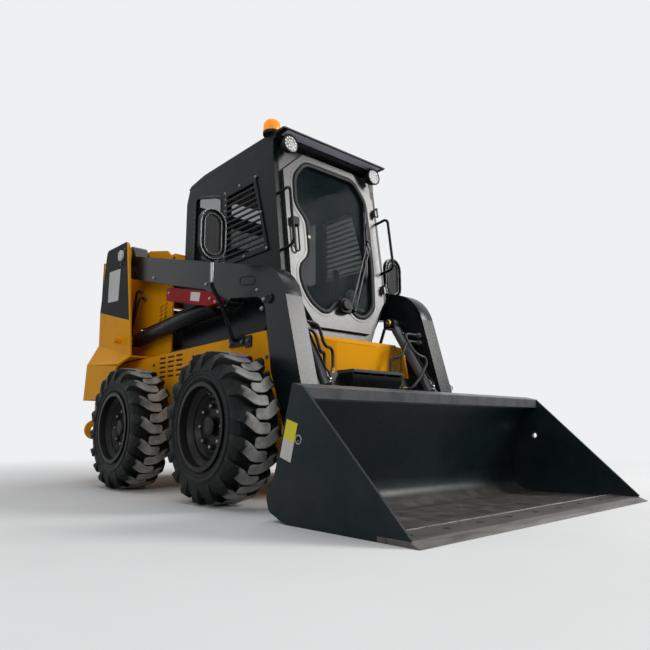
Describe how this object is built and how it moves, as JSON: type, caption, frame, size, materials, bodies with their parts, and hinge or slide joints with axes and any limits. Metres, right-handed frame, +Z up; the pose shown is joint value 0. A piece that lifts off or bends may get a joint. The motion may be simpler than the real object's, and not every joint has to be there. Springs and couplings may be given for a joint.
{
  "type": "skid steer loader",
  "caption": "Wheeled skid steer loader with lift arms down, a flat-floored bucket, a closed cab with a front door, coupled hydraulic cylinders and turning wheels.",
  "frame": {"origin": "on the floor, under the middle of the overall length and width", "axes": "+Z up, the bucket towards -Y, +X the machine's left"},
  "size_m": [1.82, 3.487, 2.2423],
  "materials": {
    "beacon_orange": "orange lens",
    "black_plastic": "black moulded plastic",
    "chrome_rod": "polished chrome",
    "clear_glass": "clear glass",
    "engine_grey": "plain cast iron",
    "frame_yellow": "warm amber-yellow gloss paint",
    "hose_rubber": "black hydraulic hose",
    "lamp_lens": "lamp housings and lenses",
    "rim_black": "black paint",
    "rubber_tyre": "dusty charcoal rubber",
    "satin_black": "satin black paint",
    "seat_vinyl": "black vinyl",
    "strut_red": "red paint",
    "worn_steel": "bare steel worn bright"
  },
  "bodies": {
    "chassis": {"main_frame": "frame_yellow", "axle_hubs": "satin_black", "front_panel": "frame_yellow", "tower_left": "frame_yellow", "tower_right": "frame_yellow", "rear_bumper": "satin_black", "tower_hoses": "hose_rubber", "rear_lamps": "lamp_lens", "engine_block": "engine_grey", "engine_cover": "frame_yellow", "cab_side_left": "satin_black", "cab_side_right": "satin_black", "cab_front_frame": "satin_black", "cab_corner_sheets": "satin_black", "cab_rear_wall": "satin_black", "cab_roof": "satin_black", "cab_floor": "satin_black", "cab_sills": "satin_black", "side_screens": "satin_black", "side_windows": "clear_glass", "rear_window": "clear_glass", "seat": "seat_vinyl", "control_levers": "black_plastic", "work_lamps": "lamp_lens", "beacon": "beacon_orange", "grab_rails": "satin_black", "mirrors": "black_plastic"},
    "cab_door": {"door_frame": "satin_black", "door_glass": "clear_glass", "door_latch": "black_plastic"},
    "tailgate": {"rear_door": "satin_black"},
    "lift_arms": {"arm_left": "satin_black", "arm_right": "satin_black", "arm_cross_front": "satin_black", "front_step": "satin_black", "safety_strut": "strut_red", "arm_hoses": "hose_rubber"},
    "bucket": {"quick_attach": "satin_black", "bucket": "satin_black", "cutting_edge": "worn_steel"},
    "lift_barrel_left": {"lift_barrel_left": "satin_black"},
    "lift_rod_left": {"lift_rod_left": "chrome_rod"},
    "tilt_barrel_left": {"tilt_barrel_left": "satin_black"},
    "tilt_rod_left": {"tilt_rod_left": "chrome_rod"},
    "wheel_front_left": {"tyre_front_left": "rubber_tyre", "rim_front_left": "rim_black"},
    "wheel_rear_left": {"tyre_rear_left": "rubber_tyre", "rim_rear_left": "rim_black"},
    "lift_barrel_right": {"lift_barrel_right": "satin_black"},
    "lift_rod_right": {"lift_rod_right": "chrome_rod"},
    "tilt_barrel_right": {"tilt_barrel_right": "satin_black"},
    "tilt_rod_right": {"tilt_rod_right": "chrome_rod"},
    "wheel_front_right": {"tyre_front_right": "rubber_tyre", "rim_front_right": "rim_black"},
    "wheel_rear_right": {"tyre_rear_right": "rubber_tyre", "rim_rear_right": "rim_black"}
  },
  "joints": [
    {"name": "wheel_front_left", "type": "hinge", "parent": "chassis", "child": "wheel_front_left", "pos_m": [0.759, -0.3175, 0.387], "axis": [1, 0, 0], "continuous": true},
    {"name": "wheel_front_right", "type": "hinge", "parent": "chassis", "child": "wheel_front_right", "pos_m": [-0.759, -0.3175, 0.387], "axis": [1, 0, 0], "continuous": true},
    {"name": "wheel_rear_left", "type": "hinge", "parent": "chassis", "child": "wheel_rear_left", "pos_m": [0.759, 0.7945, 0.387], "axis": [1, 0, 0], "continuous": true},
    {"name": "wheel_rear_right", "type": "hinge", "parent": "chassis", "child": "wheel_rear_right", "pos_m": [-0.759, 0.7945, 0.387], "axis": [1, 0, 0], "continuous": true},
    {"name": "lift_arm", "type": "hinge", "parent": "chassis", "child": "lift_arms", "pos_m": [0, 1.3385, 1.7], "axis": [-1, 0, 0], "range_deg": [0, 65]},
    {"name": "bucket_tilt", "type": "hinge", "parent": "lift_arms", "child": "bucket", "pos_m": [0, -0.8015, 0.215], "axis": [1, 0, 0], "range_deg": [-25, 105]},
    {"name": "cab_door_hinge", "type": "hinge", "parent": "chassis", "child": "cab_door", "pos_m": [0.39, -0.49113, 0.91104], "axis": [0, -0.1233, -0.9924], "range_deg": [-90, 0]},
    {"name": "rear_door_hinge", "type": "hinge", "parent": "chassis", "child": "tailgate", "pos_m": [0.478, 1.7068, 1], "axis": [0, 0, 1], "range_deg": [-100, 0]},
    {"name": "lift_barrel_left", "type": "hinge", "parent": "chassis", "child": "lift_barrel_left", "pos_m": [0.545, 1.2685, 1.03], "axis": [-1, 0, 0], "range_deg": [0, 54.16]},
    {"name": "lift_slide_left", "type": "slide", "parent": "lift_barrel_left", "child": "lift_rod_left", "axis": [0, -0.9972, 0.0746], "range_m": [0, 0.65702]},
    {"name": "tilt_barrel_left", "type": "hinge", "parent": "lift_arms", "child": "tilt_barrel_left", "pos_m": [0.415, -0.4765, 1.038], "axis": [1, 0, 0], "range_deg": [-0.76, 3.16]},
    {"name": "tilt_slide_left", "type": "slide", "parent": "tilt_barrel_left", "child": "tilt_rod_left", "axis": [0, -0.542, -0.8404], "range_m": [-0.06991, 0.29332]},
    {"name": "lift_barrel_right", "type": "hinge", "parent": "chassis", "child": "lift_barrel_right", "pos_m": [-0.545, 1.2685, 1.03], "axis": [-1, 0, 0], "range_deg": [0, 54.16]},
    {"name": "lift_slide_right", "type": "slide", "parent": "lift_barrel_right", "child": "lift_rod_right", "axis": [0, -0.9972, 0.0746], "range_m": [0, 0.65702]},
    {"name": "tilt_barrel_right", "type": "hinge", "parent": "lift_arms", "child": "tilt_barrel_right", "pos_m": [-0.415, -0.4765, 1.038], "axis": [1, 0, 0], "range_deg": [-0.76, 3.16]},
    {"name": "tilt_slide_right", "type": "slide", "parent": "tilt_barrel_right", "child": "tilt_rod_right", "axis": [0, -0.542, -0.8404], "range_m": [-0.06991, 0.29332]}
  ],
  "couplings": [
    {"joint": "lift_barrel_left", "follows": "lift_arm", "ratio": 0.83313},
    {"joint": "lift_slide_left", "follows": "lift_arm", "m_per_rad": 0.57905},
    {"joint": "tilt_barrel_left", "follows": "bucket_tilt", "ratio": 0.03},
    {"joint": "tilt_slide_left", "follows": "bucket_tilt", "m_per_rad": 0.16},
    {"joint": "lift_barrel_right", "follows": "lift_arm", "ratio": 0.83313},
    {"joint": "lift_slide_right", "follows": "lift_arm", "m_per_rad": 0.57905},
    {"joint": "tilt_barrel_right", "follows": "bucket_tilt", "ratio": 0.03},
    {"joint": "tilt_slide_right", "follows": "bucket_tilt", "m_per_rad": 0.16}
  ]
}
